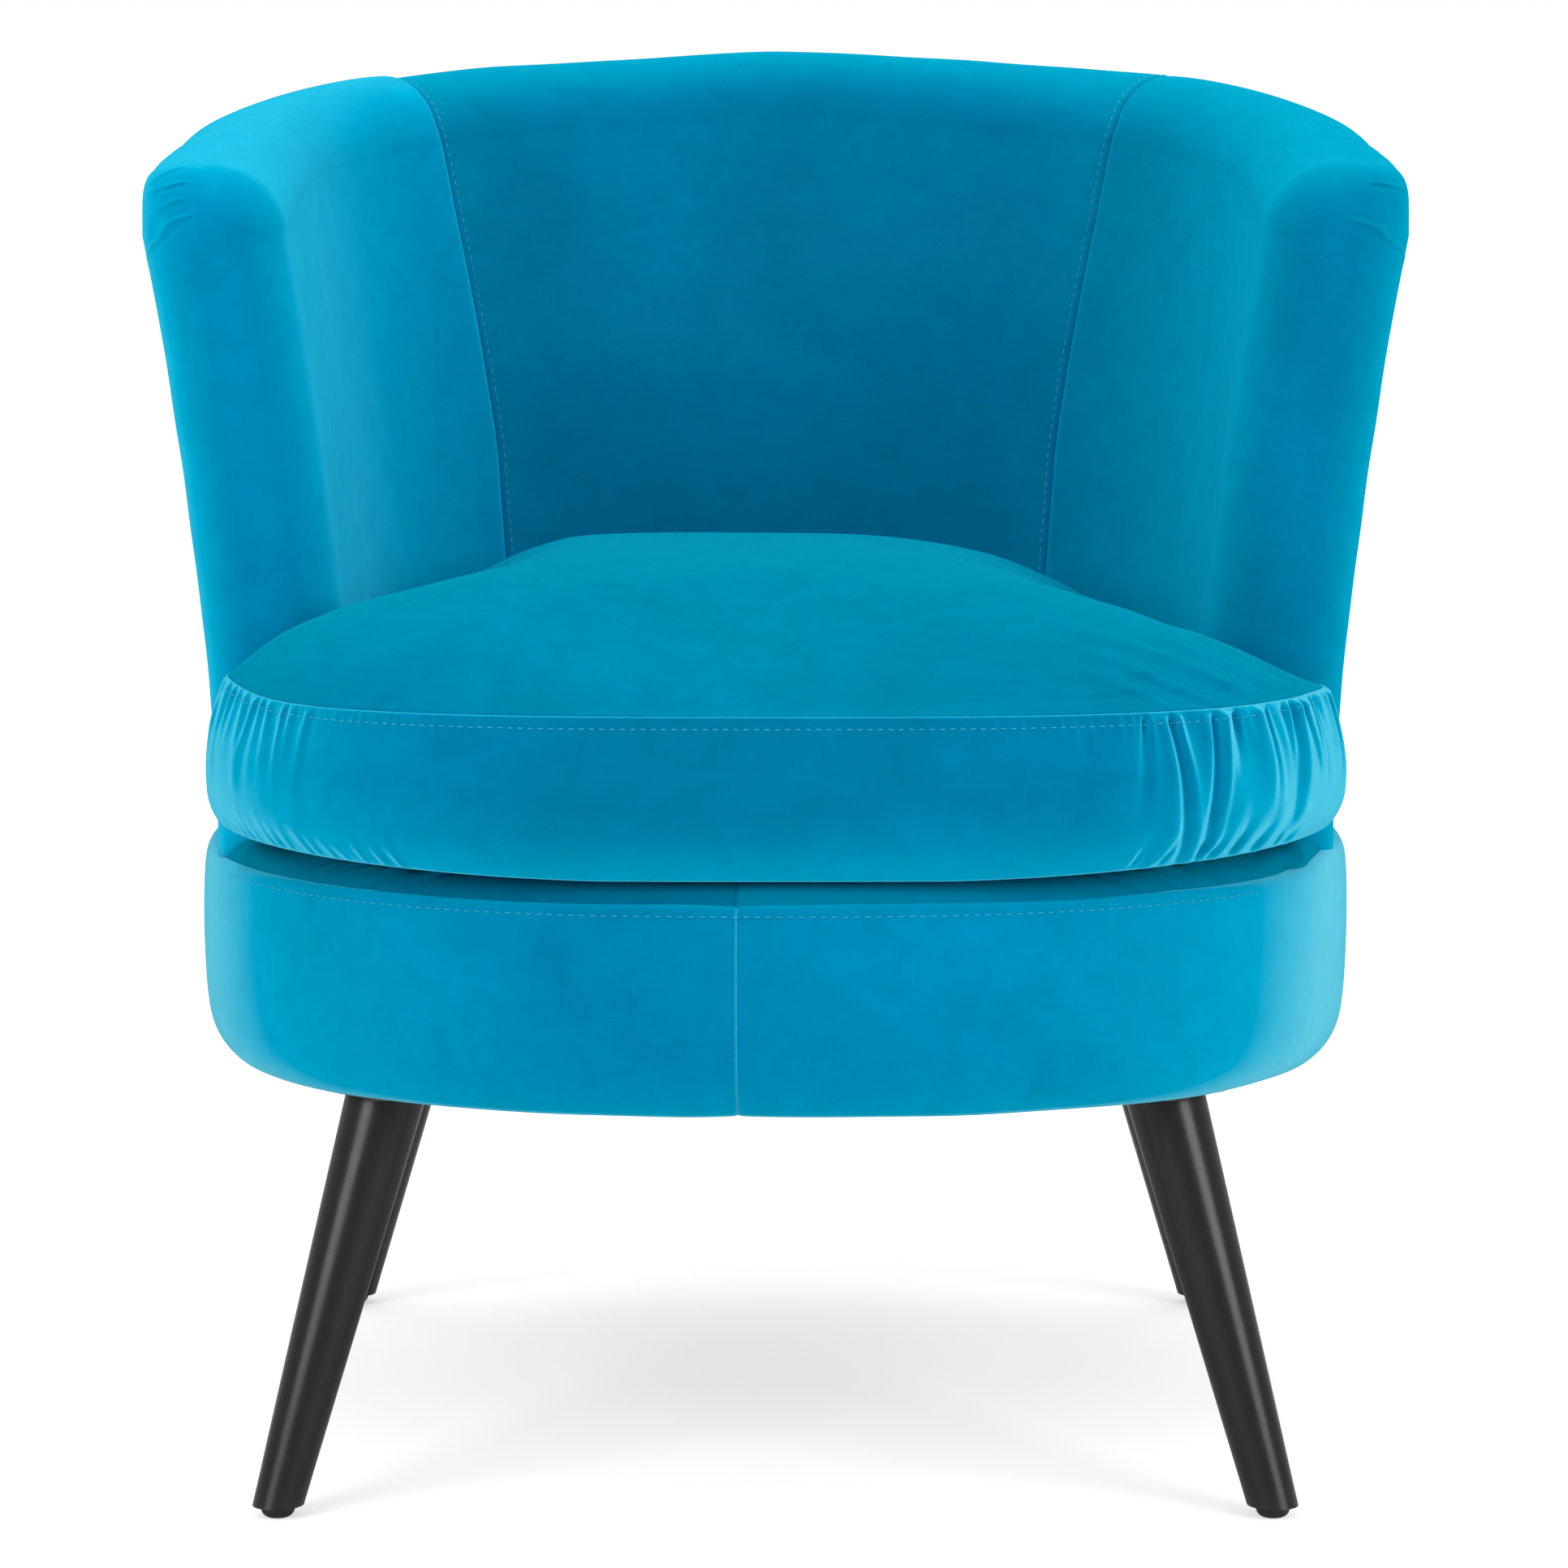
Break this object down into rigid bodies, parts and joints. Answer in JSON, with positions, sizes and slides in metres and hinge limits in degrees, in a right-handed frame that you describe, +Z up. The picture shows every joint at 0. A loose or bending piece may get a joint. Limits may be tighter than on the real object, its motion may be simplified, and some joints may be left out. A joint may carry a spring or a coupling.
{
  "type": "upholstered tub armchair",
  "caption": "Velvet tub armchair: rounded drum base on splayed turned legs, flared wing-and-back shell in three inner panels, and a loose boxed T-shaped seat cushion.",
  "frame": {"origin": "on the floor, under the middle of the chair's outline", "axes": "+Z up, -Y towards the front, where the sitter's knees are, +X to the right as seen from the front"},
  "size_m": [0.68, 0.6458, 0.761],
  "materials": {
    "velvet": "short-pile velvet, cut in panels whose nap runs different ways",
    "lacquer": "satin black lacquered turned beech",
    "glide": "moulded nail-on glide",
    "plate": "black powder-coated steel plate",
    "steel": "zinc-plated steel fasteners",
    "spring_wire": "hardened spring wire",
    "plywood": "birch plywood",
    "timber": "planed softwood",
    "card": "fibre card and thin bent board",
    "foam": "polyurethane foam",
    "wadding": "polyester fibre wadding",
    "felt": "needled spring felt",
    "cambric": "black non-woven dust cloth",
    "zip": "woven zip tape and nylon coil"
  },
  "bodies": {
    "root": {"leg_front_left": "lacquer", "leg_front_right": "lacquer", "leg_rear_left": "lacquer", "leg_rear_right": "lacquer", "floor_glides": "glide", "leg_plates": "plate", "hanger_bolts": "steel", "tee_nuts": "steel", "plate_screws": "steel", "base_bottom_board": "plywood", "base_blocks": "timber", "base_top_ring": "plywood", "base_side_panel": "card", "base_padding": "wadding", "base_border_cover": "velvet", "dust_cover": "cambric", "seat_springs": "spring_wire", "spring_clips": "steel", "spring_felt": "felt", "deck_foam": "foam", "deck_cloth": "velvet", "deck_facing_left": "velvet", "deck_facing_right": "velvet", "back_bottom_rail": "timber", "back_uprights": "timber", "wing_post_left": "timber", "wing_post_right": "timber", "back_top_rail": "timber", "back_bolts": "steel", "inner_card": "card", "outer_card": "card", "back_foam": "foam", "rim_foam": "foam", "outer_wadding": "wadding", "wing_roll_left": "wadding", "wing_roll_right": "wadding", "inner_back_centre": "velvet", "inner_side_left": "velvet", "inner_side_right": "velvet", "outer_back_cover": "velvet"},
    "cushion": {"cushion_core": "foam", "cushion_wrap": "wadding", "cushion_top_panel": "velvet", "cushion_boxing": "velvet", "cushion_bottom_panel": "velvet", "zip_tape": "zip", "zip_coil": "zip"},
    "zip_slider": {"zip_slider": "steel"}
  },
  "joints": [
    {"name": "cushion_lift", "type": "slide", "parent": "root", "child": "cushion", "axis": [0, 0, 1], "range_m": [0, 0.46]},
    {"name": "zip_run", "type": "hinge", "parent": "cushion", "child": "zip_slider", "pos_m": [0, -0.2272, 0.3845], "axis": [0, 0, 1], "range_deg": [0, 30]}
  ]
}
